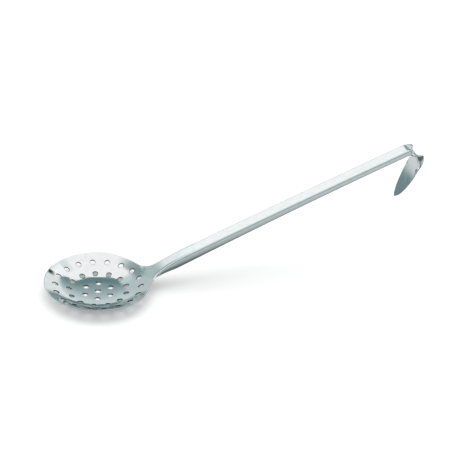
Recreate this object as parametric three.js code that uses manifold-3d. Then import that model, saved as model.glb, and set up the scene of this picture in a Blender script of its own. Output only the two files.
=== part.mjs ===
// Kitchen skimmer pressed from one stainless sheet: a perforated dish whose rim
// runs out through a neck into a channel-shaped handle with a pointed hook.
// Millimetres, +Z up. The dish stands on z = 0 and the handle rises towards +X.
// Everything mirrors across the plane y = 0, apart from the turn of the holes.
// The shapes are built round the dish's axis and then moved, so that the origin
// lies on solid sheet beside the centre hole.

import * as THREE from "three";
import { mergeVertices } from "three/addons/utils/BufferGeometryUtils.js";
import Module from "manifold-3d";

// Driving dimensions: lengths in millimetres, angles in degrees.
const sheet = 1.2;
const originOffset = 8; // origin off the dish's axis, towards the handle

const dish = {
  rimRadius: 59.4, // upper edge; the lower edge stands a little further out
  flatRadius: 16, // flat foot in the middle
  wallArcRadius: 62, // upper face, from the flat foot to the straight wall
  wallAngle: 26.5, // wall above the horizontal
  rimPull: 2, // how far pressing drew the rim in beside the neck
  pullFrom: 38, // angle off the handle where that pull is full
  pullTo: 68, // and where it has died out
};

const holes = {
  radius: 3,
  rings: [
    { count: 6, rimShare: 0.266, turn: 12.5 }, // ring radius as a share of the rim's
    { count: 13, rimShare: 0.544, turn: -2.5 },
    { count: 18, rimShare: 0.798, turn: 2.5 },
  ],
};

const neck = {
  mouthInset: 6.4, // the dish hands over to the neck this far inside its rim
  length: 47,
  leaveLength: 3, // pull of the dish's slope and of the handle's slope on the
  joinLength: 30, // curve of the neck's crown
  coneFadeLength: 8, // over this length the dish's cone fades into the channel
  flareLength: 36, // length of the flared rim edges
  flarePower: 4,
  foldPower: 2.8,
  flangePower: 2.4,
  firstFold: 2, // fold angle and flange length where the neck starts
  firstFlange: 0.5,
};

const channel = {
  halfWidth: 7.5,
  cornerRadius: 2.5,
  flangeAngle: 88,
  flangeAtNeck: 7.4, // flat part of the flange below the corner, at each end
  flangeAtHook: 4,
  length: 252, // from the neck to the hook
  riseAtNeck: 21.8, // crown of the handle above the rim, at each end
  riseAtHook: 117.4,
  bow: 0.6, // upward bow at mid-length
};

// Lengths along the crown, starting where the handle ends.
const hook = {
  leadLength: 10.8, // straight lead, tight bend, straight, wide bend, tongue
  bendRadius: 6.8,
  bendAngle: 84,
  shoulderLength: 7.7,
  setRadius: 18,
  tongueAngle: 63.4, // tongue above the horizontal
  tongueLength: 41.8,
  openFrom: 14, // the flanges swing out into ears
  openTo: 27.5,
  creaseFrom: 22, // the crease beside each ear runs out to the tongue's edge
  creaseTo: 48,
  leafLength: 42, // length over which the tongue narrows to its tip
  tipHalfWidth: 0.7,
};

// Widths of one half of the hook's section, along the sheet.
const ear = { web: 5.5, corner: 3, flange: 8, angle: 50 };
const tongue = { web: 9.1, corner: 2, flange: 2 };
const leafPower = { start: 2.2, swell: 2 / 3 };

const steel = { color: 0xc9d0d0, roughness: 0.18, metalness: 1 };

// Mesh fineness.
const turnSegments = 72;
const mouthSegments = 16;
const wallArcSegments = 6;
const holeSegments = 16;
const webSegments = 3;
const cornerSegments = 4;
const flangeSegments = 3;
const neckStations = 18;
const handleStations = 16;
const bendStations = 18;
const leafStations = 16;

const neckCrowding = 1.2; // stations crowd towards the dish and the hook's tip
const tipCrowding = 1.6;

// Planes where one zone of the sheet hands over to the next.
const mouthX = dish.rimRadius - neck.mouthInset;
const neckEndX = mouthX + neck.length;
const handleEndX = neckEndX + channel.length;

const { degToRad, lerp, smoothstep, clamp } = THREE.MathUtils;
const easeOut = (u, power) => 1 - (1 - clamp(u, 0, 1)) ** power;

// Dish profile: height of the upper face above the upper face of the foot.
const wallSlope = Math.tan(degToRad(dish.wallAngle));
const wallStart = dish.flatRadius + dish.wallArcRadius * Math.sin(degToRad(dish.wallAngle));
const wallArcRise = dish.wallArcRadius * (1 - Math.cos(degToRad(dish.wallAngle)));

function dishRise(radius) {
  if (radius >= wallStart) return wallArcRise + (radius - wallStart) * wallSlope;
  const run = Math.max(radius - dish.flatRadius, 0);
  return dish.wallArcRadius - Math.sqrt(dish.wallArcRadius ** 2 - run ** 2);
}

function dishTilt(radius) {
  const run = clamp(radius - dish.flatRadius, 0, wallStart - dish.flatRadius);
  return Math.asin(run / dish.wallArcRadius);
}

const rimHeight = sheet + dishRise(dish.rimRadius);

function rimRadiusAt(angle) {
  const off = Math.abs(Math.atan2(Math.sin(angle), Math.cos(angle)));
  const pull = 1 - smoothstep(off, degToRad(dish.pullFrom), degToRad(dish.pullTo));
  return dish.rimRadius - dish.rimPull * pull;
}

// A section is a closed loop of points: the upper face one way, then the lower
// face back. Lofting joins loops of equal length, either into a ring or with a
// flat cap on each end.
function loft(sections, ring) {
  const loop = sections[0].length;
  const half = loop / 2;
  const positions = sections.flat().flatMap((p) => [p.x, p.y, p.z]);
  const index = [];
  const quad = (a, b, c, d) => index.push(a, c, b, a, d, c);
  const spans = ring ? sections.length : sections.length - 1;
  for (let i = 0; i < spans; i += 1) {
    const here = i * loop;
    const there = ((i + 1) % sections.length) * loop;
    for (let j = 0; j < loop; j += 1) {
      const next = (j + 1) % loop;
      quad(here + j, there + j, there + next, here + next);
    }
  }
  const last = (sections.length - 1) * loop;
  for (let j = 0; !ring && j < half - 1; j += 1) {
    const mirror = loop - 1 - j;
    quad(j, j + 1, mirror - 1, mirror);
    quad(last + j + 1, last + j, last + mirror, last + mirror - 1);
  }
  const geometry = new THREE.BufferGeometry();
  geometry.setAttribute("position", new THREE.Float32BufferAttribute(positions, 3));
  geometry.setIndex(index);
  return geometry;
}

// Solid cuts and joins.
const wasm = await Module();
wasm.setup();

function toSolid(geometry) {
  const bare = geometry.clone();
  bare.deleteAttribute("normal");
  bare.deleteAttribute("uv");
  const merged = mergeVertices(bare);
  return new wasm.Manifold(
    new wasm.Mesh({
      numProp: 3,
      vertProperties: merged.attributes.position.array,
      triVerts: new Uint32Array(merged.index.array),
    }),
  );
}

function toGeometry(solid) {
  const mesh = solid.getMesh();
  const geometry = new THREE.BufferGeometry();
  geometry.setAttribute("position", new THREE.BufferAttribute(mesh.vertProperties, 3));
  geometry.setIndex(new THREE.BufferAttribute(mesh.triVerts, 1));
  return geometry;
}

// Dish: one radial section per angle, from the centre hole out to the rim or,
// across the mouth of the neck, out to the plane where the neck takes over.
const neckHalfMouth = Math.sqrt(rimRadiusAt(0) ** 2 - mouthX ** 2);
const mouthAngle = Math.atan2(neckHalfMouth, mouthX);

function dishSection(angle, atMouth) {
  const end = atMouth ? mouthX / Math.cos(angle) : rimRadiusAt(angle);
  const radii = [holes.radius, dish.flatRadius];
  for (let k = 1; k <= wallArcSegments; k += 1) {
    const tilt = degToRad(dish.wallAngle) * (k / wallArcSegments);
    radii.push(dish.flatRadius + dish.wallArcRadius * Math.sin(tilt));
  }
  radii.push((wallStart + end) / 2, end);
  const place = (r, z) => new THREE.Vector3(r * Math.cos(angle), r * Math.sin(angle), z);
  const upper = radii.map((r) => place(r, sheet + dishRise(r)));
  const lower = radii.map((r, k) => {
    const tilt = dishTilt(r);
    if (k === 0) return place(r, 0);
    if (atMouth && r === end) return place(r, sheet + dishRise(r) - sheet / Math.cos(tilt));
    return place(r + sheet * Math.sin(tilt), sheet + dishRise(r) - sheet * Math.cos(tilt));
  });
  return [...upper, ...lower.reverse()];
}

function holeCutter(radius, angle) {
  const tilt = dishTilt(radius);
  const cutter = new THREE.CylinderGeometry(holes.radius, holes.radius, 6 * sheet, holeSegments);
  cutter.rotateX(Math.PI / 2);
  cutter.rotateY(-tilt);
  cutter.translate(radius, 0, sheet / 2 + dishRise(radius));
  cutter.rotateZ(angle);
  return toSolid(cutter);
}

function makeBowl() {
  const sections = [];
  for (let k = 0; k <= mouthSegments; k += 1) {
    sections.push(dishSection(lerp(-mouthAngle, mouthAngle, k / mouthSegments), true));
  }
  for (let k = 1; k < turnSegments; k += 1) {
    sections.push(dishSection(lerp(mouthAngle, 2 * Math.PI - mouthAngle, k / turnSegments), false));
  }
  let bowl = toSolid(loft(sections, true));
  for (const ring of holes.rings) {
    for (let k = 0; k < ring.count; k += 1) {
      const angle = degToRad(ring.turn + (360 * k) / ring.count);
      bowl = bowl.subtract(holeCutter(ring.rimShare * dish.rimRadius, angle));
    }
  }
  return toGeometry(bowl);
}

// Strip sections: flat web, rounded corner, flange. Returns points (y, n) of one
// half, from the crown outwards, n counted up from the crown.
function foldedHalf({ web, corner, fold, flange }) {
  const points = [];
  for (let k = 0; k <= webSegments; k += 1) points.push([(web * k) / webSegments, 0]);
  let [y, n] = [web, 0];
  for (let k = 0; k < cornerSegments; k += 1) {
    const turned = (fold * (k + 0.5)) / cornerSegments;
    y += (corner / cornerSegments) * Math.cos(turned);
    n -= (corner / cornerSegments) * Math.sin(turned);
    points.push([y, n]);
  }
  for (let k = 1; k <= flangeSegments; k += 1) {
    const run = (flange * k) / flangeSegments;
    points.push([y + run * Math.cos(fold), n - run * Math.sin(fold)]);
  }
  return points;
}

// A channel given by the half-width between its edges, its flange length and its
// fold angle, with the usual corner radius.
function channelHalf(halfWidth, flange, fold) {
  const radius = channel.cornerRadius;
  const web = halfWidth - radius * Math.sin(fold) - flange * Math.cos(fold);
  return { web, corner: radius * fold, flange, fold };
}

// Turns one half into a full closed loop in space. The station gives the crown
// point, the direction that counts as up in its plane, and the path's heading.
function stripSection(half, station) {
  const mirrored = half.slice(1).reverse();
  const line = [...mirrored.map(([y, n]) => [-y, n]), ...half].reverse();
  const lean = station.upX * Math.cos(station.heading) + station.upZ * Math.sin(station.heading);
  const lower = line.map(([y, n], k) => {
    const [y0, n0] = line[Math.max(k - 1, 0)];
    const [y1, n1] = line[Math.min(k + 1, line.length - 1)];
    const length = Math.hypot(y1 - y0, n1 - n0);
    const [runY, runN] = [(y1 - y0) / length, (n1 - n0) / length];
    const slant = (runY * lean) ** 2 / (1 - (runN * lean) ** 2);
    const depth = sheet / Math.sqrt(1 - slant);
    return [y - runN * depth, n + runY * depth];
  });
  const place = ([y, n]) =>
    new THREE.Vector3(station.x + n * station.upX, y, station.z + n * station.upZ);
  return [...line.map(place), ...lower.reverse().map(place)];
}

// Crown line of the handle.
function handleCrown(x) {
  const u = (x - neckEndX) / channel.length;
  const bow = channel.bow * 4 * u * (1 - u);
  return rimHeight + lerp(channel.riseAtNeck, channel.riseAtHook, u) + bow;
}

function handleSlope(x) {
  const u = (x - neckEndX) / channel.length;
  return (channel.riseAtHook - channel.riseAtNeck + channel.bow * 4 * (1 - 2 * u)) / channel.length;
}

function flangeLength(x) {
  const u = (handleEndX - x) / channel.length;
  return lerp(channel.flangeAtHook, channel.flangeAtNeck, u * u);
}

const upright = (x, z, heading) => ({ x, z, upX: 0, upZ: 1, heading });

const handleFold = degToRad(channel.flangeAngle);

// Half of the handle's section. The web keeps its width, so the edges spread a
// little more where the flanges are longer.
function handleHalf(x) {
  const flange = flangeLength(x);
  const drop = channel.cornerRadius * (1 - Math.cos(handleFold)) + flange * Math.sin(handleFold);
  return channelHalf(channel.halfWidth + drop / Math.tan(handleFold), flange, handleFold);
}

// Neck: leaves the dish along its cone, narrows with flared edges and turns the
// edges down until the section is the handle's channel.
const neckStart = new THREE.Vector2(mouthX, sheet + dishRise(mouthX));
const neckEnd = new THREE.Vector2(neckEndX, handleCrown(neckEndX));
const neckHeading = Math.atan(handleSlope(neckEndX));
const wallHeading = new THREE.Vector2(1, wallSlope).normalize();
const handleHeading = new THREE.Vector2(Math.cos(neckHeading), Math.sin(neckHeading));
const neckCrown = new THREE.CubicBezierCurve(
  neckStart,
  neckStart.clone().addScaledVector(wallHeading, neck.leaveLength),
  neckEnd.clone().addScaledVector(handleHeading, -neck.joinLength),
  neckEnd,
);

function neckHalf(x) {
  const u = (x - mouthX) / neck.length;
  const end = handleHalf(neckEndX);
  const endHalfWidth = end.web + channel.cornerRadius * Math.sin(end.fold) + end.flange * Math.cos(end.fold);
  const flare = 1 - easeOut((x - mouthX) / neck.flareLength, neck.flarePower);
  const halfWidth = lerp(endHalfWidth, neckHalfMouth, flare);
  const fold = lerp(degToRad(neck.firstFold), end.fold, easeOut(u, neck.foldPower));
  const flange = lerp(neck.firstFlange, end.flange, easeOut(u, neck.flangePower));
  const folded = foldedHalf(channelHalf(halfWidth, flange, fold));
  const leftCone = smoothstep(x, mouthX, mouthX + neck.coneFadeLength);
  const edge = folded[folded.length - 1][0];
  return folded.map(([y, n]) => {
    const coneY = (halfWidth * y) / edge;
    const coneRise = dishRise(Math.hypot(x, coneY)) - dishRise(x);
    return [lerp(coneY, y, leftCone), lerp(coneRise, n, leftCone)];
  });
}

function makeNeck() {
  const sections = [];
  for (let k = 0; k <= neckStations; k += 1) {
    const t = (k / neckStations) ** neckCrowding;
    const crown = neckCrown.getPoint(t);
    const heading = neckCrown.getTangent(t).angle();
    sections.push(stripSection(neckHalf(crown.x), upright(crown.x, crown.y, heading)));
  }
  return loft(sections, false);
}

// Handle: inverted channel, its flanges longer towards the neck.
function makeHandle() {
  const sections = [];
  for (let k = 0; k <= handleStations; k += 1) {
    const x = lerp(neckEndX, handleEndX, k / handleStations);
    const station = upright(x, handleCrown(x), Math.atan(handleSlope(x)));
    sections.push(stripSection(foldedHalf(handleHalf(x)), station));
  }
  return loft(sections, false);
}

// Hook: the strip goes over a tight bend, its flanges swing out into ears on the
// way, and the leaf-shaped tongue points back under the handle.
const startHeading = Math.atan(handleSlope(handleEndX));
const bendTurn = degToRad(hook.bendAngle);
const setTurn = startHeading - bendTurn - degToRad(hook.tongueAngle - 180);
const hookPath = [
  { length: hook.leadLength, radius: Infinity },
  { length: hook.bendRadius * bendTurn, radius: hook.bendRadius },
  { length: hook.shoulderLength, radius: Infinity },
  { length: hook.setRadius * setTurn, radius: hook.setRadius },
  { length: hook.tongueLength, radius: Infinity },
];
const hookLength = hookPath.reduce((sum, stretch) => sum + stretch.length, 0);

function hookStation(s) {
  let [x, z, heading, left] = [handleEndX, handleCrown(handleEndX), startHeading, s];
  for (const { length, radius } of hookPath) {
    const run = Math.min(left, length);
    const turn = run / radius;
    const chord = turn > 0 ? 2 * radius * Math.sin(turn / 2) : run;
    x += chord * Math.cos(heading - turn / 2);
    z += chord * Math.sin(heading - turn / 2);
    heading -= turn;
    left -= run;
  }
  const up = Math.min(heading, 0) + Math.PI / 2;
  return { x, z, upX: Math.cos(up), upZ: Math.sin(up), heading };
}

function hookHalf(s) {
  const opened = smoothstep(s, hook.openFrom, hook.openTo);
  const flattened = smoothstep(s, hook.creaseFrom, hook.creaseTo);
  const toTip = clamp((hookLength - s) / hook.leafLength, 0, 1);
  const tipShare = hook.tipHalfWidth / (tongue.web + tongue.corner + tongue.flange);
  const leaf = Math.max(easeOut(toTip, leafPower.start) ** leafPower.swell, tipShare);
  const closed = handleHalf(handleEndX);
  const width = (part) => leaf * lerp(lerp(closed[part], ear[part], opened), tongue[part], flattened);
  const earFold = lerp(closed.fold, -degToRad(ear.angle), opened);
  return foldedHalf({
    web: width("web"),
    corner: width("corner"),
    flange: width("flange"),
    fold: lerp(earFold, 0, flattened),
  });
}

function makeHook() {
  const sections = [];
  const leafStart = hookLength - hook.leafLength;
  for (let k = 0; k < bendStations; k += 1) {
    const s = (leafStart * k) / bendStations;
    sections.push(stripSection(hookHalf(s), hookStation(s)));
  }
  for (let k = 0; k <= leafStations; k += 1) {
    const s = leafStart + hook.leafLength * easeOut(k / leafStations, tipCrowding);
    sections.push(stripSection(hookHalf(s), hookStation(s)));
  }
  return loft(sections, false);
}

// Assembly.
function named(name, geometry) {
  const flat = geometry.index ? geometry.toNonIndexed() : geometry;
  flat.computeVertexNormals();
  const mesh = new THREE.Mesh(flat, new THREE.MeshStandardMaterial(steel));
  mesh.name = name;
  return mesh;
}

const skimmer = new THREE.Group();
skimmer.name = "skimmer";
skimmer.add(named("bowl", makeBowl()));
skimmer.add(named("neck", makeNeck()));
skimmer.add(named("handle", makeHandle()));
skimmer.add(named("hook", makeHook()));
skimmer.children.forEach((mesh) => mesh.geometry.translate(-originOffset, 0, 0));

export default skimmer;
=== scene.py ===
"""Kitchen skimmer pressed from one stainless sheet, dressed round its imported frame."""

import logging
import math
from abc import ABC, abstractmethod
from dataclasses import astuple, dataclass, replace
from enum import Enum
from functools import reduce
from operator import mul
from typing import ClassVar, Iterable, Sequence

import bmesh
import bpy
from bpy.types import Material, Node, NodeSocket, Object, World
from mathutils import Matrix, Vector


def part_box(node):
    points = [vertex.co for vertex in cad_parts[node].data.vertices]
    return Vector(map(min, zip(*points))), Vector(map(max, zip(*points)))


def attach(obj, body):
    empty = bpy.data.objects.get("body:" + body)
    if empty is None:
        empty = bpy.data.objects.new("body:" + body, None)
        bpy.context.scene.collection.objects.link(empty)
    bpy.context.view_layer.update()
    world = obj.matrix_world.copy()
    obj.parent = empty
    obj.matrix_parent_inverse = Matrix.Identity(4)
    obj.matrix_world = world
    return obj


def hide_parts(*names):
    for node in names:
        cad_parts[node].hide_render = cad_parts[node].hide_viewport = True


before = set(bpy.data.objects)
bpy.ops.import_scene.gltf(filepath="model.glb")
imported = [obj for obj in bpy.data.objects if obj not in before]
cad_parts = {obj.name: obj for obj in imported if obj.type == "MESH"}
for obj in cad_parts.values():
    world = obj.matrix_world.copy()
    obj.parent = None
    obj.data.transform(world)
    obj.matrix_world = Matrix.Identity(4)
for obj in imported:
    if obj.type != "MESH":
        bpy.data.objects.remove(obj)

MM = 0.001
DEG = math.pi / 180
SAME_PLACE = 1e-6
SAME_ANGLE = 1e-4
LOG = logging.getLogger("skimmer")
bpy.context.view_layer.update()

Point = tuple[float, float]
Place = tuple[float, float, float]
Colour = tuple[float, float, float]
Steps = tuple[int, int, int]


def smoothstep(value: float, low: float, high: float) -> float:
    """Eased share, from 0 below low to 1 above high."""
    share = min(max((value - low) / (high - low), 0.0), 1.0)
    return share * share * (3 - 2 * share)


def ease_out(share: float, power: float) -> float:
    """Share from 0 to 1 that starts steeply and ends level."""
    return 1 - (1 - min(max(share, 0.0), 1.0)) ** power


def lerp(start: float, end: float, share: float) -> float:
    """Value at a share of the way from start to end."""
    return start + (end - start) * share


@dataclass(frozen=True, eq=False)
class Value:
    """A number socket whose arithmetic adds Math nodes to its graph."""

    graph: "Graph"
    socket: NodeSocket

    def math(self, operation: str, *others: "Value | float") -> "Value":
        """Adds one Math node.

        Args:
            operation: The Math node's operation.
            others: Its second and third inputs.

        Returns:
            The node's result.
        """
        inputs = dict(enumerate([self, *others]))
        node = self.graph.node("ShaderNodeMath", {"operation": operation}, inputs)
        return Value(self.graph, node.outputs[0])

    def __add__(self, other: "Value | float") -> "Value":
        """Sum of the two."""
        return self.math("ADD", other)

    def __mul__(self, other: "Value | float") -> "Value":
        """Product of the two."""
        return self.math("MULTIPLY", other)

    def __sub__(self, other: "Value | float") -> "Value":
        """This value less the other."""
        return self.math("SUBTRACT", other)

    def __rsub__(self, other: float) -> "Value":
        """The other value less this one."""
        return (self * -1.0) + other

    __radd__ = __add__

    def eased(self, low: float, high: float) -> "Value":
        """Share of the way from low to high, smoothed.

        Args:
            low: Value where the share is 0.
            high: Value where the share is 1.

        Returns:
            The share, held between 0 and 1.
        """
        inputs = {"Value": self, "From Min": low, "From Max": high}
        settings = {"interpolation_type": "SMOOTHSTEP"}
        node = self.graph.node("ShaderNodeMapRange", settings, inputs)
        return Value(self.graph, node.outputs["Result"])


class Graph:
    """The node tree of one material or world."""

    def __init__(self, owner: Material | World) -> None:
        """Turns the owner's nodes on and clears them.

        Args:
            owner: Material or world whose nodes are built.
        """
        owner.use_nodes = True
        self.tree = owner.node_tree
        self.tree.nodes.clear()

    def node(self, kind: str, settings: dict | None = None, inputs: dict | None = None) -> Node:
        """Adds a node.

        Args:
            kind: The node's type.
            settings: The node's own properties, set first.
            inputs: Socket values or links, by socket name or index.

        Returns:
            The new node.
        """
        node = self.tree.nodes.new(kind)
        for name, setting in (settings or {}).items():
            setattr(node, name, setting)
        for key, item in (inputs or {}).items():
            source = item.socket if isinstance(item, Value) else item
            if isinstance(source, NodeSocket):
                self.tree.links.new(source, node.inputs[key])
            else:
                node.inputs[key].default_value = source
        return node

    def value(self, node: Node, output: str | int = 0) -> Value:
        """One output of a node as a number."""
        return Value(self, node.outputs[output])

    def axes(self, place: NodeSocket) -> list[Value]:
        """The three coordinates of a place."""
        split = self.node("ShaderNodeSeparateXYZ", inputs={0: place})
        return [self.value(split, axis) for axis in "XYZ"]

    def noise(self, place: NodeSocket, **inputs: float) -> Value:
        """Noise over a place, with more inputs of the Noise node by name."""
        return self.value(self.node("ShaderNodeTexNoise", inputs={"Vector": place, **inputs}))

    def either(self, share: Value | NodeSocket, first: Node, second: Node) -> Node:
        """Shader between two, by the share of the second."""
        inputs = {0: share, 1: first.outputs[0], 2: second.outputs[0]}
        return self.node("ShaderNodeMixShader", inputs=inputs)

    def surface(self, shader: Node) -> None:
        """Puts a shader on the material's surface."""
        self.node("ShaderNodeOutputMaterial", inputs={"Surface": shader.outputs[0]})

    def mix(self, share: Value | float, first: object, second: object) -> NodeSocket:
        """Blend of two colours.

        Args:
            share: 0 for the first colour, 1 for the second.
            first: Colour or socket.
            second: Colour or socket.

        Returns:
            The blended colour's socket.
        """
        ends = [(*end, 1.0) if isinstance(end, tuple) else end for end in (first, second)]
        inputs = {0: share, 6: ends[0], 7: ends[1]}
        node = self.node("ShaderNodeMix", {"data_type": "RGBA"}, inputs)
        return node.outputs[2]


class Ray(Enum):
    """Kinds of ray that see the surroundings in their own way."""

    CAMERA = "Is Camera Ray"
    GLOSSY = "Is Glossy Ray"
    TRANSMISSION = "Is Transmission Ray"


@dataclass(frozen=True)
class HoleRing:
    """One ring of punched holes round the dish's axis."""

    count: int
    radius: float
    turn: float

    def angles(self) -> list[float]:
        """Angle of each hole off the handle, in radians."""
        return [(self.turn + 360 * k / self.count) * DEG for k in range(self.count)]


@dataclass(frozen=True)
class Step:
    """Soft step in a value: where it lies on a coordinate, and how high it is."""

    low: float
    high: float
    rise: float

    def at(self, coordinate: Value) -> Value:
        """Part of the rise that is reached at a coordinate."""
        return coordinate.eased(self.low, self.high) * self.rise


@dataclass(frozen=True)
class Span:
    """Stretch of a coordinate with soft ends; an end that is left out stays open."""

    fade_in: Point | None = None
    fade_out: Point | None = None

    def shares(self, coordinate: Value) -> list[Value]:
        """A factor for each end that it has, 1 on the stretch and 0 beyond that end."""
        rising = [coordinate.eased(*self.fade_in)] if self.fade_in else []
        return rising + ([1 - coordinate.eased(*self.fade_out)] if self.fade_out else [])


@dataclass(frozen=True)
class Patch:
    """Area of one tone, with a span along each of its coordinates."""

    tone: Colour
    spans: tuple[Span, ...]

    def share(self, *place: Value) -> Value:
        """Share of the patch at a place, given by one coordinate for each span."""
        pairs = zip(self.spans, place, strict=True)
        return reduce(mul, (share for span, value in pairs for share in span.shares(value)))

    def over(self, colour: object, *place: Value) -> NodeSocket:
        """A colour with the patch laid over it at a place."""
        share = self.share(*place)
        return share.graph.mix(share, colour, self.tone)


@dataclass(frozen=True)
class PolishedSteel:
    """Polished stainless sheet.

    It is faintly hazy and wavy, sunk in a little round its holes, painted almost black as shade
    on the walls of the holes, and brushed along the strip.
    """

    name: str = "polished_steel"
    tone: Colour = (0.60, 0.635, 0.64)
    worn_tone: Colour = (0.56, 0.60, 0.61)
    roughness: Point = (0.045, 0.11)
    brushed_roughness: float = 0.07
    haze_scale: float = 150.0
    hazy: Point = (0.3, 0.75)
    worn: Point = (0.35, 0.8)
    streaky: Point = (0.3, 0.7)
    ripple_scale: float = 30.0
    ripple_depth: float = 0.05 * MM
    along_grain: float = 25.0
    across_grain: float = 1400.0
    grain_depth: float = 0.002 * MM
    brushing_fade: float = 40 * MM
    bend_fade: float = 4 * MM
    # painted shade: near-black on the walls of the holes, which look dark inside
    hole_shade_tone: Colour = (0.02, 0.035, 0.04)
    cut_roughness: float = 0.35
    cut_fade: Point = (0.1 * MM, 0.3 * MM)
    sink_start: float = 0.8
    sink_width: float = 1.5 * MM
    sink_depth: float = 0.10 * MM

    @staticmethod
    def hole_gap(
        graph: Graph, place: NodeSocket, rings: Sequence[HoleRing], axis_x: float
    ) -> Value:
        """Distance from the centre of the nearest hole.

        Args:
            graph: The material's graph.
            place: Socket with the position on the sheet.
            rings: The rings of holes.
            axis_x: Place of the dish's axis.

        Returns:
            The distance.
        """
        x, y, _ = graph.axes(place)
        x = x - axis_x
        radius = (x * x + y * y).math("SQRT")
        angle = y.math("ARCTAN2", x)
        nearest = radius
        for ring in rings:
            off = (angle - ring.turn * DEG).math("PINGPONG", math.pi / ring.count)
            arc = off * ring.radius
            run = radius - ring.radius
            nearest = nearest.math("MINIMUM", (arc * arc + run * run).math("SQRT"))
        return nearest

    @staticmethod
    def grain(graph: Graph, place: NodeSocket, turn: float, scale: Place) -> Value:
        """Fine streaks.

        Args:
            graph: The material's graph.
            place: Socket with the position on the sheet.
            turn: Angle of the streaks above the horizontal.
            scale: Noise scale along the streaks, across them, and off the sheet.

        Returns:
            The streaks, around 0.5.
        """
        kind, settings = "ShaderNodeMapping", {"vector_type": "POINT"}
        turned = graph.node(kind, settings, {"Vector": place, "Rotation": (0.0, turn, 0.0)})
        drawn = graph.node(kind, settings, {"Vector": turned.outputs[0], "Scale": scale})
        return graph.noise(drawn.outputs[0], Scale=1.0, Detail=3.0)

    def material(self, dish: "Dish", handle: "Handle", axis_x: float) -> Material:
        """Builds the material.

        Args:
            dish: The dish with its holes.
            handle: The handle.
            axis_x: Place of the dish's axis.

        Returns:
            The finished material.
        """
        material = bpy.data.materials.new(self.name)
        graph = Graph(material)
        place = graph.node("ShaderNodeTexCoord").outputs["Object"]
        along = graph.axes(place)[0] - axis_x
        start, end = handle.start_x, handle.end_x
        on_strip = along.eased(start - self.brushing_fade, start)
        on_hook = along.eased(end - self.bend_fade, end + self.bend_fade)
        fine, long = self.across_grain, self.along_grain
        handle_grain = self.grain(graph, place, handle.slope(end), (long, fine, fine))
        hook_grain = self.grain(graph, place, 0.0, (long, fine, long))
        grain = handle_grain + (hook_grain - handle_grain) * on_hook
        ripple = graph.noise(place, Scale=self.ripple_scale, Detail=1.0, Roughness=0.3)
        haze = graph.noise(place, Scale=self.haze_scale, Detail=4.0)
        smooth, rough = self.roughness
        roughness = haze.eased(*self.hazy) * (rough - smooth) + smooth
        roughness = roughness + on_strip * grain.eased(*self.streaky) * self.brushed_roughness
        gap = self.hole_gap(graph, place, dish.rings, axis_x)
        radius = dish.hole_radius
        sunk = gap.eased(self.sink_start * radius, radius + self.sink_width)
        height = ripple * self.ripple_depth + sunk * self.sink_depth
        height = height + grain * on_strip * self.grain_depth
        relief = {"Strength": 1.0, "Distance": 1.0, "Height": height}
        bump = graph.node("ShaderNodeBump", inputs=relief)
        # mask of the hole walls and their edges: they get painted shade and more roughness
        cut = 1 - gap.eased(*(radius + reach for reach in self.cut_fade))
        tone = graph.mix(haze.eased(*self.worn), self.tone, self.worn_tone)
        roughness = roughness + cut * self.cut_roughness
        look = {
            # painted shade on the hole walls
            "Base Color": graph.mix(cut, tone, self.hole_shade_tone),
            "Metallic": 1.0,
            "Roughness": roughness,
            "Normal": bump.outputs[0],
        }
        graph.surface(graph.node("ShaderNodeBsdfPrincipled", inputs=look))
        return material


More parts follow.
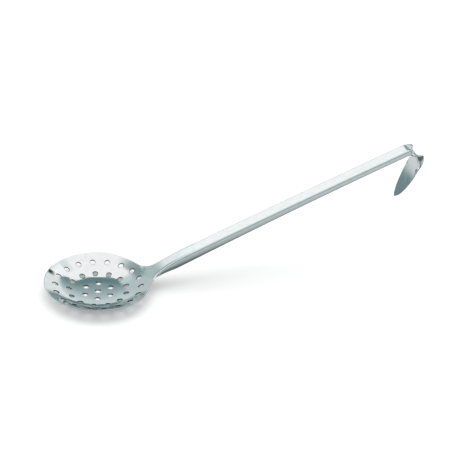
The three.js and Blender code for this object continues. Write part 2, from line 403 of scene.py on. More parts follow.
@dataclass(frozen=True)
class PaleFloor:
    """Plain matt white floor, seen only from above.

    Mirrors show it with painted shade that the camera does not see: in front of the handle,
    where it gets paler further out, and as a painted handle shadow in a strip behind the handle.
    """

    name: str = "pale_floor"
    tone: Colour = (0.91, 0.91, 0.91)
    speck_tone: Colour = (0.89, 0.89, 0.89)
    speck_scale: float = 90.0
    roughness: float = 0.9
    seen_lift: float = 0.155
    # painted shade that only mirrors see, darkest close to the handle and paler further out
    front: Patch = Patch((0.14, 0.17, 0.175), (Span((0.05, 0.09)), Span(None, (-0.03, 0.02))))
    # painted shadow of the handle, in a strip behind it, that only mirrors see
    behind: Patch = Patch(
        (0.60, 0.64, 0.64), (Span((0.10, 0.16), (0.29, 0.34)), Span((0.0, 0.04), (0.10, 0.15)))
    )
    far_painted_shade: Colour = (0.76, 0.80, 0.80)
    slant: float = 0.34
    near: Step = Step(-0.07, -0.025, 0.52)
    near_handle: Step = Step(0.07, 0.11, 0.08 / 0.52)
    middle: Step = Step(-0.19, -0.05, 0.24)
    far: Step = Step(-0.40, -0.11, 0.12)

    def paleness(self, along: Value, back: Value) -> Value:
        """Brightness of the painted shade in front of the handle, as mirrors show it.

        Args:
            along: Place along the handle.
            back: Place away from the camera.

        Returns:
            0 where it is darkest, close to the handle, and 1 where it is palest.
        """
        spread = back + along * self.slant
        close = self.near.at(spread) * (self.near_handle.at(along) + 1)
        return 1 - close - self.middle.at(spread) - self.far.at(spread)

    def material(self) -> Material:
        """Builds the material.

        Returns:
            The finished material.
        """
        material = bpy.data.materials.new(self.name)
        graph = Graph(material)
        place = graph.node("ShaderNodeTexCoord").outputs["Object"]
        speck = graph.noise(place, Scale=self.speck_scale)
        path = graph.node("ShaderNodeLightPath")
        seen = graph.value(path, Ray.CAMERA.value) + graph.value(path, Ray.TRANSMISSION.value)
        mirrored = graph.value(path, Ray.GLOSSY.value)
        along, back, _ = graph.axes(place)
        front = graph.mix(self.paleness(along, back), self.front.tone, self.far_painted_shade)
        tone = graph.mix(speck, self.tone, self.speck_tone)
        # painted shade in front of the handle, shown to mirrored rays only
        tone = graph.mix(self.front.share(along, back) * mirrored, tone, front)
        # painted handle shadow, shown to mirrored rays only
        tone = graph.mix(self.behind.share(along, back) * mirrored, tone, self.behind.tone)
        look = {
            "Base Color": tone,
            "Roughness": self.roughness,
            "Specular IOR Level": 0.0,
            "Emission Color": (1.0, 1.0, 1.0, 1.0),
            "Emission Strength": seen * self.seen_lift,
        }
        shader = graph.node("ShaderNodeBsdfPrincipled", inputs=look)
        clear = graph.node("ShaderNodeBsdfTransparent")
        below = graph.node("ShaderNodeNewGeometry").outputs["Backfacing"]
        graph.surface(graph.either(below, shader, clear))
        return material


@dataclass(frozen=True)
class Card:
    """Plain card that only mirrors see.

    Its left end fades out over a share of its length, and its level grows by the gain from
    left to right.
    """

    name: str
    tone: Colour
    level: float
    middle: Place
    size: Point
    lean: float = 0.0
    slope: float = 0.0
    fade: float = 0.02
    gain: float = 0.0

    def material(self) -> Material:
        """Builds the material.

        Returns:
            The finished material.
        """
        material = bpy.data.materials.new(self.name)
        graph = Graph(material)
        along, _, _ = graph.axes(graph.node("ShaderNodeTexCoord").outputs["Object"])
        shown = along.eased(-0.5, -0.5 + self.fade)
        strength = along.eased(-0.5, 0.5) * self.gain + self.level
        clear = graph.node("ShaderNodeBsdfTransparent")
        glow = {"Color": (*self.tone, 1.0), "Strength": strength}
        shader = graph.node("ShaderNodeEmission", inputs=glow)
        graph.surface(graph.either(shown, clear, shader))
        return material

    def hang(self) -> None:
        """Hangs the card."""
        Bench.start()
        bpy.ops.mesh.primitive_plane_add(size=1.0, location=self.middle)
        card = bpy.context.active_object
        card.name = self.name
        card.scale = (*self.size, 1.0)
        card.rotation_euler = (self.lean, -self.slope, 0.0)
        card.data.materials.append(self.material())
        card.visible_camera = False
        card.visible_diffuse = False
        card.visible_shadow = False


class Bench:
    """Operators that act on one object, with everything else deselected."""

    @staticmethod
    def pick(*things: Object) -> None:
        """Selects only the given objects and makes the first one active.

        Args:
            things: The objects.
        """
        Bench.start()
        for thing in things:
            thing.select_set(True)
        bpy.context.view_layer.objects.active = things[0]

    @staticmethod
    def leave() -> None:
        """Leaves edit mode."""
        if bpy.context.mode != "OBJECT":
            bpy.ops.object.mode_set(mode="OBJECT")

    @staticmethod
    def start() -> None:
        """Leaves edit mode and deselects everything."""
        Bench.leave()
        bpy.ops.object.select_all(action="DESELECT")

    @staticmethod
    def settle() -> None:
        """Leaves edit mode and applies the active object's transform."""
        Bench.leave()
        bpy.ops.object.transform_apply(location=True, rotation=True, scale=True)

    @staticmethod
    def edit(mode: str = "VERT") -> bmesh.types.BMesh:
        """Enters edit mode on the active object.

        Args:
            mode: VERT, EDGE or FACE selection.

        Returns:
            The edit mesh.
        """
        if bpy.context.mode == "OBJECT":
            bpy.ops.object.mode_set(mode="EDIT")
        bpy.ops.mesh.select_mode(type=mode)
        return bmesh.from_edit_mesh(bpy.context.active_object.data)

    @staticmethod
    def refresh() -> None:
        """Writes code changes of the edit mesh back."""
        bmesh.update_edit_mesh(bpy.context.active_object.data, loop_triangles=False)

    @staticmethod
    def modify(kind: str, settings: dict) -> None:
        """Adds a modifier to the active object and applies it.

        Args:
            kind: The modifier's type.
            settings: Its properties.
        """
        Bench.leave()
        bpy.ops.object.modifier_add(type=kind)
        modifier = bpy.context.active_object.modifiers[-1]
        for name, setting in settings.items():
            setattr(modifier, name, setting)
        bpy.ops.object.modifier_apply(modifier=modifier.name)


@dataclass(frozen=True)
class Dish:
    """Shallow dish with a foot that is a little hollow and a straight sloping wall."""

    sheet: float = 1.2 * MM
    rim_radius: float = 59.4 * MM
    flat_radius: float = 16 * MM
    foot_slope: float = 3 * DEG
    arc_radius: float = 83 * MM
    wall_angle: float = 26.5 * DEG
    rim_pull: float = 2.0 * MM
    pull_from: float = 38 * DEG
    pull_to: float = 68 * DEG
    mouth_inset: float = 6.4 * MM
    hole_radius: float = 3 * MM
    hole_flare: float = 0.3 * MM
    hole_steps: int = 36
    punch_reach: float = 1.0 * MM
    rings: tuple[HoleRing, ...] = (
        HoleRing(6, 15.8 * MM, 12.5),
        HoleRing(13, 32.3 * MM, -2.5),
        HoleRing(18, 47.4 * MM, 2.5),
    )
    turn_steps: int = 240
    mouth_steps: int = 15
    flat_steps: int = 8
    arc_steps: int = 20
    wall_steps: int = 12

    @property
    def wall_start(self) -> float:
        """Radius where the straight wall begins."""
        return self.arc_end(self.wall_angle)

    def arc_end(self, tilt: float) -> float:
        """Radius where the arc between foot and wall reaches a slope."""
        return self.flat_radius + self.arc_radius * (math.sin(tilt) - math.sin(self.foot_slope))

    @property
    def mouth_x(self) -> float:
        """Distance of the neck's mouth from the dish's axis."""
        return self.rim_radius - self.mouth_inset

    def mouth_angle(self, step: int) -> float:
        """Angle of one grid line across the mouth, counted from the middle."""
        return 2 * math.pi * step / self.turn_steps

    @property
    def mouth_reach(self) -> float:
        """Angle off the handle that holds all of the mouth."""
        return self.mouth_angle(self.mouth_steps) + SAME_ANGLE

    def tilt(self, radius: float) -> float:
        """Slope of the upper face.

        Args:
            radius: Distance from the dish's axis.

        Returns:
            Its angle above the horizontal.
        """
        if radius < self.flat_radius:
            return math.atan(math.tan(self.foot_slope) * radius / self.flat_radius)
        run = min(radius, self.wall_start) - self.flat_radius
        return math.asin(run / self.arc_radius + math.sin(self.foot_slope))

    def rise(self, radius: float) -> float:
        """Height of the upper face.

        Args:
            radius: Distance from the dish's axis.

        Returns:
            The height above the face's middle.
        """
        foot = min(radius, self.flat_radius)
        hollow = math.tan(self.foot_slope) * foot**2 / (2 * self.flat_radius)
        if radius <= self.flat_radius:
            return hollow
        arc = self.arc_radius * (math.cos(self.foot_slope) - math.cos(self.tilt(radius)))
        return hollow + arc + max(radius - self.wall_start, 0.0) * math.tan(self.wall_angle)

    def rim_at(self, angle: float) -> float:
        """Rim radius at an angle off the handle."""
        pull = 1 - smoothstep(abs(angle), self.pull_from, self.pull_to)
        return self.rim_radius - self.rim_pull * pull

    def end_at(self, angle: float) -> float:
        """Radius where the dish's grid ends: at the mouth's plane, or else at the rim."""
        at_mouth = abs(angle) < self.mouth_reach
        return self.mouth_x / math.cos(angle) if at_mouth else self.rim_at(angle)

    def profile(self) -> list[float]:
        """Places the profile's points.

        Returns:
            Their radii, from the centre hole to the rim.
        """
        flat = range(self.flat_steps)
        radii = [lerp(self.hole_radius, self.flat_radius, k / self.flat_steps) for k in flat]
        for k in range(self.arc_steps):
            tilt = lerp(self.foot_slope, self.wall_angle, k / self.arc_steps)
            radii.append(self.arc_end(tilt))
        for k in range(self.wall_steps + 1):
            radii.append(lerp(self.wall_start, self.rim_radius, k / self.wall_steps))
        return radii

    def spin(self, name: str) -> Object:
        """Spins the profile into the dish's upper face and fits its rim.

        Args:
            name: The new object's name.

        Returns:
            The dish, in edit mode.
        """
        radii = self.profile()
        Bench.start()
        place = (radii[0], 0.0, self.sheet)
        bpy.ops.mesh.primitive_plane_add(size=self.sheet, location=place)
        dish = bpy.context.active_object
        dish.name = name
        Bench.settle()
        Bench.edit()
        bpy.ops.mesh.select_all(action="SELECT")
        bpy.ops.mesh.merge(type="CENTER")
        for inner, outer in zip(radii, radii[1:]):
            step = (outer - inner, 0.0, self.rise(outer) - self.rise(inner))
            bpy.ops.mesh.extrude_vertices_move(TRANSFORM_OT_translate={"value": step})
        bpy.ops.mesh.select_all(action="SELECT")
        bpy.ops.mesh.spin(steps=self.turn_steps, angle=360 * DEG, center=(0, 0, 0), axis=(0, 0, 1))
        bpy.ops.mesh.select_all(action="SELECT")
        bpy.ops.mesh.remove_doubles(threshold=SAME_PLACE)
        grid = Bench.edit()
        for vert in grid.verts:
            radius = math.hypot(vert.co.x, vert.co.y)
            if radius > self.wall_start:
                angle = math.atan2(vert.co.y, vert.co.x)
                out = (radius - self.wall_start) / (self.rim_radius - self.wall_start)
                fitted = lerp(self.wall_start, self.end_at(angle), out)
                vert.co.x *= fitted / radius
                vert.co.y *= fitted / radius
                vert.co.z = self.sheet + self.rise(fitted)
        Bench.refresh()
        return dish

    def punch(self) -> Object:
        """Models one punch upright at the origin, flared where it leaves each face.

        Returns:
            The punch.
        """
        flare, share = self.hole_flare, self.hole_flare / self.hole_radius
        steps = (
            (self.punch_reach, 1.0),
            (0.3 * flare, 1 - 0.6 * share),
            (0.7 * flare, 1 - 0.4 * share),
            (self.sheet - 2 * flare, 1.0),
            (0.7 * flare, 1 + 0.4 * share),
            (0.3 * flare, 1 + 0.6 * share),
            (self.punch_reach, 1.0),
        )
        Bench.start()
        bpy.ops.mesh.primitive_circle_add(
            vertices=self.hole_steps,
            radius=self.hole_radius + flare,
            fill_type="NGON",
            location=(0, 0, self.punch_reach),
        )
        punch = bpy.context.active_object
        Bench.settle()
        Bench.edit("FACE")
        bpy.ops.mesh.select_all(action="SELECT")
        for depth, scale in steps:
            bpy.ops.mesh.extrude_region_move(TRANSFORM_OT_translate={"value": (0, 0, -depth)})
            bpy.ops.transform.resize(value=(scale, scale, 1), center_override=(0, 0, 0))
        bpy.ops.mesh.select_all(action="SELECT")
        bpy.ops.mesh.normals_make_consistent(inside=False)
        Bench.leave()
        return punch

    def punch_holes(self, sheet: Object) -> None:
        """Cuts the rings of holes through the sheet.

        Args:
            sheet: The solid sheet, still standing on the dish's axis.
        """
        punch = self.punch()
        copies = []
        for ring in self.rings:
            tilt = self.tilt(ring.radius)
            height = self.sheet + self.rise(ring.radius)
            for angle in ring.angles():
                Bench.pick(punch)
                bpy.ops.object.duplicate(linked=False)
                copy = bpy.context.active_object
                place = Matrix.Translation((ring.radius, 0, height))
                leaning = place @ Matrix.Rotation(-tilt, 4, "Y")
                copy.matrix_world = Matrix.Rotation(angle, 4, "Z") @ leaning
                copies.append(copy)
        Bench.pick(*copies)
        bpy.ops.object.join()
        cutter = bpy.context.active_object
        Bench.pick(sheet)
        Bench.modify("BOOLEAN", {"object": cutter, "operation": "DIFFERENCE", "solver": "EXACT"})
        bpy.data.objects.remove(cutter)
        bpy.data.objects.remove(punch)


@dataclass(frozen=True)
class Fold:
    """Half a section of the strip: widths along the sheet, fold angle and the flange's curl."""

    web: float
    corner: float
    flange: float
    angle: float
    curl: float = 0.0
    fine_steps: ClassVar[Steps] = (1, 24, 24)

    def mixed(self, other: "Fold", share: float) -> "Fold":
        """Blend of this fold with another."""
        pairs = zip(astuple(self), astuple(other))
        return Fold(*(lerp(mine, theirs, share) for mine, theirs in pairs))

    def narrowed(self, share: float) -> "Fold":
        """The same fold with all widths scaled."""
        web, corner, flange = (width * share for width in (self.web, self.corner, self.flange))
        return replace(self, web=web, corner=corner, flange=flange)

    @property
    def overhang(self) -> float:
        """Distance of the edge from the web's end, measured straight across."""
        return replace(self, web=0.0).outline(self.fine_steps)[-1][0]

    def outline(self, steps: Steps) -> list[Point]:
        """Points from the crown outwards.

        Args:
            steps: Number of steps across web, corner and flange.

        Returns:
            Distance from the middle and height above the crown, of each point.
        """
        web_steps, corner_steps, flange_steps = steps
        points = [(self.web * k / web_steps, 0.0) for k in range(web_steps + 1)]
        y, n = self.web, 0.0
        bends = (
            (self.corner, corner_steps, 0.0, self.angle),
            (self.flange, flange_steps, self.angle, self.curl),
        )
        for width, count, start, turn in bends:
            for k in range(count):
                turned = start + turn * (k + 0.5) / count
                y += width / count * math.cos(turned)
                n -= width / count * math.sin(turned)
                points.append((y, n))
        return points


@dataclass(frozen=True)
class Station:
    """Crown point of one section of the strip, and the direction that counts as up."""

    x: float
    z: float
    up: float = math.pi / 2

    def place(self, y: float, n: float) -> Vector:
        """Point in space for a section point."""
        return Vector((self.x + n * math.cos(self.up), y, self.z + n * math.sin(self.up)))


Section = tuple[list[Point], Station]


class Zone(ABC):
    """Zone of the strip, drawn as a row of sections: each a half-outline and its station."""

    stations: ClassVar[int]

    @abstractmethod
    def section(self, share: float, steps: Steps) -> Section:
        """Section at a share of the way through the zone."""

    def sections(self, steps: Steps) -> list[Section]:
        """All sections but the first, which is the last one of the zone before."""
        return [self.section(k / self.stations, steps) for k in range(1, self.stations + 1)]


@dataclass(frozen=True)
class Handle(Zone):
    """Inverted channel that rises from the neck to the hook."""

    start_x: float
    length: float = 252 * MM
    half_width: float = 7.9 * MM
    corner_radius: float = 2.5 * MM
    flange_angle: float = 79 * DEG
    flange_curl: float = 10 * DEG
    neck_flange: float = 8.0 * MM
    hook_flange: float = 4.6 * MM
    neck_rise: float = 21.8 * MM
    hook_rise: float = 117.4 * MM
    bow: float = 0.6 * MM
    rim_rise: float = 0.0
    stations: ClassVar[int] = 60

    @property
    def end_x(self) -> float:
        """Distance of the hook's start from the dish's axis."""
        return self.start_x + self.length

    def share(self, x: float) -> float:
        """Share of the way from the neck to the hook."""
        return (x - self.start_x) / self.length

    def crown(self, x: float) -> float:
        """Height of the crown."""
        u = self.share(x)
        return self.rim_rise + lerp(self.neck_rise, self.hook_rise, u) + 4 * self.bow * u * (1 - u)

    def slope(self, x: float) -> float:
        """Angle of the crown above the horizontal."""
        bowed = self.bow * 4 * (1 - 2 * self.share(x))
        return math.atan((self.hook_rise - self.neck_rise + bowed) / self.length)

    def fold(self, x: float) -> Fold:
        """Finds the section's shape.

        Args:
            x: Distance from the dish's axis.

        Returns:
            Half of the section.
        """
        flange = lerp(self.hook_flange, self.neck_flange, (1 - self.share(x)) ** 2)
        web = self.half_width - self.corner_radius * math.tan(self.flange_angle / 2)
        corner = self.corner_radius * self.flange_angle
        return Fold(web, corner, flange, self.flange_angle, self.flange_curl)

    def section(self, share: float, steps: Steps) -> Section:
        """Section at a share of the way through the handle."""
        x = lerp(self.start_x, self.end_x, share)
        return self.fold(x).outline(steps), Station(x, self.crown(x))


@dataclass(frozen=True)
class Neck(Zone):
    """Flared strip that leaves the dish and turns its edges down."""

    dish: Dish
    handle: Handle
    leave_length: float = 7 * MM
    join_length: float = 27 * MM
    cone_fade_length: float = 9 * MM
    flare_length: float = 36 * MM
    flare_power: float = 4
    fold_reach: float = 0.38
    flange_reach: float = 0.85
    first_fold: float = 2 * DEG
    first_flange: float = 0.5 * MM
    crowding: float = 1.25
    stations: ClassVar[int] = 44

    def crown(self, t: float) -> Station:
        """Point of the crown's curve.

        Args:
            t: Parameter along the curve, from 0 at the dish to 1 at the handle.

        Returns:
            The station there.
        """
        start_x, end_x = self.dish.mouth_x, self.handle.start_x
        start = Vector((start_x, self.dish.sheet + self.dish.rise(start_x)))
        end = Vector((end_x, self.handle.crown(end_x)))
        wall, slope = self.dish.wall_angle, self.handle.slope(end_x)
        leave = start + self.leave_length * Vector((math.cos(wall), math.sin(wall)))
        join = end - self.join_length * Vector((math.cos(slope), math.sin(slope)))
        s = 1 - t
        point = s**3 * start + 3 * s * s * t * leave + 3 * s * t * t * join + t**3 * end
        return Station(point.x, point.y)

    def half(self, x: float, steps: Steps) -> list[Point]:
        """Half-outline of one section: the dish's own cone at first, then the folded strip.

        Args:
            x: Distance from the dish's axis.
            steps: Number of steps across web, corner and flange.

        Returns:
            Distance from the middle and height above the crown, of each point.
        """
        start_x, end_x = self.dish.mouth_x, self.handle.start_x
        u = (x - start_x) / (end_x - start_x)
        end = self.handle.fold(end_x)
        mouth = self.dish.mouth_angle(self.dish.mouth_steps)
        flare = 1 - ease_out((x - start_x) / self.flare_length, self.flare_power)
        half_width = lerp(end.web + end.overhang, start_x * math.tan(mouth), flare)
        folded = smoothstep(u, 0.0, self.fold_reach)
        angle = lerp(self.first_fold, end.angle, folded)
        flange = lerp(self.first_flange, end.flange, smoothstep(u, 0.0, self.flange_reach))
        narrow = Fold(0.0, self.handle.corner_radius * angle, flange, angle, end.curl * folded)
        section = replace(narrow, web=half_width - narrow.overhang).outline(steps)
        left_cone = smoothstep(x, start_x, start_x + self.cone_fade_length)
        points = []
        for step, (y, n) in enumerate(section):
            cone_y = half_width * math.tan(self.dish.mouth_angle(step)) / math.tan(mouth)
            cone_rise = self.dish.rise(math.hypot(x, cone_y)) - self.dish.rise(x)
            points.append((lerp(cone_y, y, left_cone), lerp(cone_rise, n, left_cone)))
        return points

    def section(self, share: float, steps: Steps) -> Section:
        """Section at a share of the way through the neck."""
        station = self.crown(share**self.crowding)
        return self.half(station.x, steps), station


@dataclass(frozen=True)
class Hook(Zone):
    """Bend with flanges swung out into ears, and a leaf-shaped tongue."""

    handle: Handle
    lead_length: float = 10.8 * MM
    bend_radius: float = 6.8 * MM
    bend_angle: float = 84 * DEG
    shoulder_length: float = 7.7 * MM
    set_radius: float = 18 * MM
    tongue_angle: float = 67 * DEG
    tongue_curl: float = 7 * DEG
    tongue_length: float = 41.8 * MM
    open_from: float = 14 * MM
    open_to: float = 27.5 * MM
    crease_from: float = 22 * MM
    crease_to: float = 48 * MM
    leaf_length: float = 42 * MM
    leaf_start_power: float = 2.2
    leaf_swell: float = 2 / 3
    tip_half_width: float = 0.9 * MM
    ear: Fold = Fold(5.5 * MM, 3 * MM, 8 * MM, -50 * DEG)
    tongue: Fold = Fold(7.9 * MM, 2.6 * MM, 2.6 * MM, 0.0)
    tip_crowding: float = 1.5
    stations: ClassVar[int] = 64

    def stretches(self) -> list[Point]:
        """Lists the straights and bends of the crown's path.

        Returns:
            Length and turn per length of each stretch.
        """
        start = self.handle.slope(self.handle.end_x)
        set_turn = start - self.bend_angle - (self.tongue_angle - math.pi)
        return [
            (self.lead_length, 0.0),
            (self.bend_radius * self.bend_angle, 1 / self.bend_radius),
            (self.shoulder_length, 0.0),
            (self.set_radius * set_turn, 1 / self.set_radius),
            (self.tongue_length, self.tongue_curl / self.tongue_length),
        ]

    @property
    def length(self) -> float:
        """Length of the crown's path."""
        return sum(stretch for stretch, _ in self.stretches())

    def station(self, s: float) -> Station:
        """Follows the crown's path.

        Args:
            s: Distance along the path.

        Returns:
            The station there.
        """
        x = self.handle.end_x
        z = self.handle.crown(x)
        heading = self.handle.slope(x)
        for stretch, bend in self.stretches():
            run = min(s, stretch)
            turn = run * bend
            chord = 2 / bend * math.sin(turn / 2) if bend else run
            x += chord * math.cos(heading - turn / 2)
            z += chord * math.sin(heading - turn / 2)
            heading -= turn
            s -= run
        return Station(x, z, min(heading, 0.0) + math.pi / 2)

    def fold(self, s: float) -> Fold:
        """Finds the section's shape.

        Args:
            s: Distance along the crown's path.

        Returns:
            Half of the section.
        """
        opened = smoothstep(s, self.open_from, self.open_to)
        flattened = smoothstep(s, self.crease_from, self.crease_to)
        to_tip = (self.length - s) / self.leaf_length
        full = self.tongue.web + self.tongue.corner + self.tongue.flange
        leaf = ease_out(to_tip, self.leaf_start_power) ** self.leaf_swell
        closed = self.handle.fold(self.handle.end_x)
        shape = closed.mixed(self.ear, opened).mixed(self.tongue, flattened)
        return shape.narrowed(max(leaf, self.tip_half_width / full))

    def section(self, share: float, steps: Steps) -> Section:
        """Section at a share of the way through the hook."""
        s = self.length * ease_out(share, self.tip_crowding)
        return self.fold(s).outline(steps), self.station(s)


@dataclass
class Sheet:
    """The whole skimmer: one sheet, dished, folded, bent, punched and polished."""

    finish: PolishedSteel
    dish: Dish
    neck: Neck
    handle: Handle
    hook: Hook
    axis_x: float
    steps: Steps = (4, 6, 5)
    edge_round: float = 0.3 * MM
    edge_steps: int = 3
    edge_angle: float = 60 * DEG
    smooth_angle: float = 32 * DEG
    square_tip: float = 6 * MM
    name: str = "pressed_sheet"

    @classmethod
    def from_frame(cls, finish: PolishedSteel) -> "Sheet":
        """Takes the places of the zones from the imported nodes.

        Args:
            finish: The sheet's finish.

        Returns:
            The sheet, not built yet.
        """
        bowl_low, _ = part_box("bowl")
        handle_low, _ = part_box("handle")
        dish = Dish()
        axis_x = bowl_low[0] + dish.rim_radius + dish.sheet * math.sin(dish.wall_angle)
        rim_rise = dish.sheet + dish.rise(dish.rim_radius)
        handle = Handle(start_x=handle_low[0] - axis_x, rim_rise=rim_rise)
        return cls(finish, dish, Neck(dish, handle), handle, Hook(handle), axis_x)

    def draw_strip(self) -> None:
        """Extrudes the dish's mouth edges station by station into the strip."""
        grid = Bench.edit("EDGE")
        bpy.ops.mesh.select_all(action="DESELECT")
        mouth_x = self.dish.mouth_x
        mouth_y = mouth_x * math.tan(self.dish.mouth_reach)
        for edge in grid.edges:
            ends = [vert.co for vert in edge.verts]
            on_mouth = all(abs(co.x - mouth_x) < SAME_PLACE and abs(co.y) < mouth_y for co in ends)
            edge.select_set(on_mouth and edge.is_boundary)
        Bench.refresh()
        zones = (self.neck, self.handle, self.hook)
        sections = [section for zone in zones for section in zone.sections(self.steps)]
        for half, station in sections:
            bpy.ops.mesh.extrude_edges_move(TRANSFORM_OT_translate={"value": (MM, 0, 0)})
            grid = bmesh.from_edit_mesh(bpy.context.active_object.data)
            row = sorted((vert for vert in grid.verts if vert.select), key=lambda vert: vert.co.y)
            mirrored = [(-y, n) for y, n in half[:0:-1]]
            for vert, (y, n) in zip(row, [*mirrored, *half], strict=True):
                vert.co = station.place(y, n)
            Bench.refresh()

    def face_up(self) -> None:
        """Turns all faces so that the dish's inside counts as the outside."""
        bpy.ops.mesh.select_all(action="SELECT")
        bpy.ops.mesh.normals_make_consistent(inside=False)
        grid = Bench.edit("FACE")
        foot = min(grid.faces, key=lambda face: face.calc_center_median().length)
        if foot.normal.z < 0:
            bpy.ops.mesh.flip_normals()
        Bench.refresh()

    def round_edges(self) -> None:
        """Rounds the cut edges all round, but for the last bit of the tip."""
        Bench.edit("EDGE")
        bpy.ops.mesh.select_all(action="DESELECT")
        bpy.ops.mesh.edges_select_sharp(sharpness=self.edge_angle)
        tip = self.hook.station(self.hook.length)
        grid = Bench.edit("EDGE")
        for edge in grid.edges:
            middle = (edge.verts[0].co + edge.verts[1].co) / 2
            if math.hypot(middle.x - tip.x, middle.z - tip.z) < self.square_tip:
                edge.select_set(False)
        Bench.refresh()
        bpy.ops.mesh.bevel(
            offset=self.edge_round, segments=self.edge_steps, affect="EDGES", clamp_overlap=True
        )

    def build(self) -> Object:
        """Models and dresses the sheet, hangs it on the root body and hides the imported parts it
        stands for.

        Returns:
            The finished piece.
        """
        sheet = self.dish.spin(self.name)
        self.draw_strip()
        self.face_up()
        solid = {"thickness": self.dish.sheet, "offset": -1.0, "use_even_offset": True}
        Bench.modify("SOLIDIFY", solid)
        self.round_edges()
        Bench.pick(sheet)
        self.dish.punch_holes(sheet)
        Bench.edit()
        bpy.ops.mesh.select_all(action="SELECT")
        bpy.ops.transform.translate(value=(self.axis_x, 0, 0))
        Bench.pick(sheet)
        bpy.ops.object.shade_smooth_by_angle(angle=self.smooth_angle)
        sheet.data.materials.clear()
        sheet.data.materials.append(self.finish.material(self.dish, self.handle, self.axis_x))
        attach(sheet, "root")
        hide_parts("bowl", "neck", "handle", "hook")
        return sheet


@dataclass(frozen=True)
class Surroundings:
    """Studio that mirrors see: a bright ceiling over grey walls with dark panels.

    Its zones lie by direction, in degrees: side is the azimuth, from straight behind the
    piece to the right, and height the elevation. The camera sees white, other rays the fill.
    """

    white: Colour = (1.0, 1.0, 1.0)
    fill: Colour = (0.78, 0.78, 0.78)
    wall: Colour = (0.83, 0.93, 0.93)
    shade: Patch = Patch((0.71, 0.81, 0.81), (Span(None, (-6, 6)), Span(None, (34, 44))))
    panel: Patch = Patch((0.19, 0.32, 0.33), (Span((-3, 1.5), (56, 64)), Span((18, 46))))
    low_wall: Patch = Patch((0.24, 0.35, 0.36), (Span(None, (11, 20)),))
    low_wall_drop: Step = Step(-30, -20, 9)
    horizon: Patch = Patch((0.95, 0.97, 0.97), (Span(None, (-26, -16)), Span(None, (0.5, 2.5))))
    right_wall: Patch = Patch((1.15, 1.18, 1.18), (Span((8, 15)), Span((5, 14))))
    front: Patch = Patch((0.30, 0.40, 0.41), (Span((100, 125)), Span(None, (12, 34))))
    ceiling: Colour = (1.44, 1.38, 1.37)
    dim_ceiling: Patch = Patch((1.10, 1.14, 1.15), (Span((52, 60)), Span(None, (54, 62))))
    ceiling_height: float = 48.0
    ceiling_steps: tuple[Step, ...] = (
        Step(-4, 5, 5), Step(23, 34, -8), Step(44, 58, -9), Step(58, 66, -8)
    )
    front_step: Step = Step(95, 125, 27)
    edge_sharpness: float = 0.25
    edge_sharpening: Step = Step(-6, 0, 0.9)
    left_panel: Patch = Patch(
        (0.31, 0.43, 0.435),
        (Span((-85, -70)), Span(None, (52, 74)), Span(None, (-28, -14)), Span((16, 30))),
    )
    panel_lean: float = 0.7
    panel_leans_from: float = 40.0
    panel_foot: Step = Step(-34, -27, 8)
    dark_corner: Patch = Patch(
        (0.02, 0.04, 0.05), (Span((49, 51)), Span((32.2, 33.7), (37.3, 38.8)))
    )

    def ceiling_edge(self, side: Value) -> Value:
        """Elevation where the ceiling starts, in degrees, for an azimuth."""
        edge = sum((step.at(side) for step in self.ceiling_steps), self.ceiling_height)
        return edge + self.front_step.at(side.math("ABSOLUTE"))

    def paint(self, side: Value, height: Value) -> NodeSocket:
        """Lays the zones over one another.

        Args:
            side: Azimuth, in degrees.
            height: Elevation, in degrees.

        Returns:
            The colour's socket.
        """
        colour = self.shade.over(self.wall, side, height)
        colour = self.panel.over(colour, side, height)
        colour = self.low_wall.over(colour, height + self.low_wall_drop.at(side))
        colour = self.horizon.over(colour, side, height)
        colour = self.right_wall.over(colour, side - height, height)
        colour = self.front.over(colour, side.math("ABSOLUTE"), height)
        sharpness = self.edge_sharpening.at(side) + self.edge_sharpness
        over_edge = ((height - self.ceiling_edge(side)) * sharpness).eased(-1.0, 1.0)
        ceiling = self.dim_ceiling.over(self.ceiling, side, height)
        colour = side.graph.mix(over_edge, colour, ceiling)
        above = (height - self.panel_leans_from).math("MAXIMUM", 0.0)
        leaning = side + above * self.panel_lean
        raised = height - self.panel_foot.at(side)
        colour = self.left_panel.over(colour, side, height, leaning, raised)
        return self.dark_corner.over(colour, side, height)

    def build(self) -> None:
        """Builds the scene's world."""
        world = bpy.data.worlds.new("studio")
        bpy.context.scene.world = world
        graph = Graph(world)
        across, ahead, up = graph.axes(graph.node("ShaderNodeTexCoord").outputs["Generated"])
        side = across.math("ARCTAN2", ahead) * math.degrees(1)
        height = up.math("ARCSINE") * math.degrees(1)
        path = graph.node("ShaderNodeLightPath")
        seen = graph.value(path, Ray.CAMERA.value)
        mirrored = graph.value(path, Ray.GLOSSY.value) + graph.value(path, Ray.TRANSMISSION.value)
        shown = graph.mix(mirrored.math("MINIMUM", 1.0), self.fill, self.paint(side, height))
        shown = graph.mix(seen, shown, self.white)
        background = graph.node("ShaderNodeBackground", inputs={"Color": shown, "Strength": 1.0})
        graph.node("ShaderNodeOutputWorld", inputs={"Surface": background.outputs[0]})


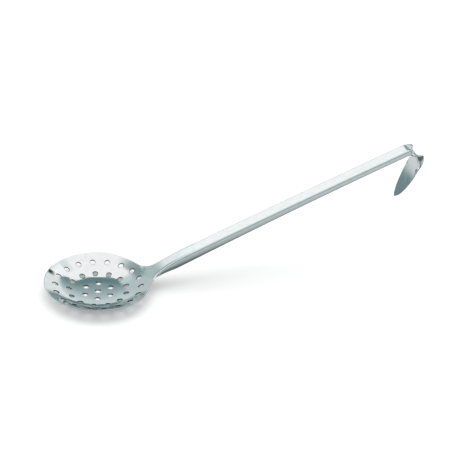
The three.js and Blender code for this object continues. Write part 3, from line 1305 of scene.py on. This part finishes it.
@dataclass
class Studio:
    """Floor, cards, lamp, surroundings and camera."""

    floor: PaleFloor
    cards: Sequence[Card]
    surroundings: Surroundings
    floor_size: float = 8.0
    floor_gap: float = 0.05 * MM
    sun_lean: float = -16 * DEG
    sun_spread: float = 62 * DEG
    sun_level: float = 0.92
    camera_place: Place = (-0.3526, -1.2689, 0.8556)
    camera_turn: float = 21.30 * DEG
    camera_dip: float = 30.27 * DEG
    camera_roll: float = 3.53 * DEG
    lens: float = 110.8
    sensor: float = 36.0
    clip_end: float = 20.0

    def lay_floor(self) -> None:
        """Lays the floor just under the foot."""
        Bench.start()
        bpy.ops.mesh.primitive_plane_add(size=self.floor_size, location=(0, 0, -self.floor_gap))
        floor = bpy.context.active_object
        floor.name = "floor"
        floor.data.materials.append(self.floor.material())

    def hang_lamp(self) -> None:
        """Hangs one wide soft lamp."""
        bpy.ops.object.light_add(type="SUN", location=(0, 0, 2))
        lamp = bpy.context.active_object
        lamp.name = "soft_lamp"
        lamp.rotation_euler = (self.sun_lean, 0.0, 0.0)
        lamp.data.energy = self.sun_level
        lamp.data.angle = self.sun_spread
        lamp.visible_glossy = False

    def set_camera(self) -> None:
        """Sets the camera at the photograph's angle."""
        camera = bpy.data.objects.new("camera", bpy.data.cameras.new("camera"))
        bpy.context.scene.collection.objects.link(camera)
        turned = Matrix.Rotation(-self.camera_turn, 4, "Z")
        dipped = turned @ Matrix.Rotation(math.pi / 2 - self.camera_dip, 4, "X")
        rolled = dipped @ Matrix.Rotation(self.camera_roll, 4, "Z")
        camera.matrix_world = Matrix.Translation(self.camera_place) @ rolled
        camera.data.lens = self.lens
        camera.data.sensor_width = self.sensor
        camera.data.clip_end = self.clip_end
        bpy.context.scene.camera = camera

    def build(self) -> None:
        """Builds the whole studio."""
        self.lay_floor()
        for card in self.cards:
            card.hang()
        self.hang_lamp()
        self.surroundings.build()
        self.set_camera()
        bpy.context.scene.view_settings.view_transform = "Standard"


def main() -> None:
    """Builds the skimmer and its studio."""
    logging.basicConfig(level=logging.INFO, format="%(name)s: %(message)s")
    sheet = Sheet.from_frame(PolishedSteel())
    piece = sheet.build()
    LOG.info("%s: %d faces", piece.name, len(piece.data.polygons))
    web_card = Card(
        "web_card",
        tone=(1.0, 0.985, 0.98),
        level=1.45,
        middle=(0.221, 0.130, 0.1913),
        size=(0.302, 0.080),
        lean=-53 * DEG,
        slope=sheet.handle.slope(sheet.handle.end_x),
    )
    neck_card = Card(
        "neck_card",
        tone=(0.98, 1.0, 1.0),
        level=1.16,
        middle=(0.0645, 0.060, 0.0726),
        size=(0.0775, 0.021),
        lean=-60 * DEG,
        slope=30 * DEG,
        fade=0.27,
        gain=0.28,
    )
    place, size = (0.412, 0.02, 0.22), (0.10, 0.13)
    hook_card = Card("hook_card", tone=(0.80, 1.0, 1.0), level=0.48, middle=place, size=size)
    Studio(PaleFloor(), [web_card, neck_card, hook_card], Surroundings()).build()


if __name__ == "__main__":
    main()
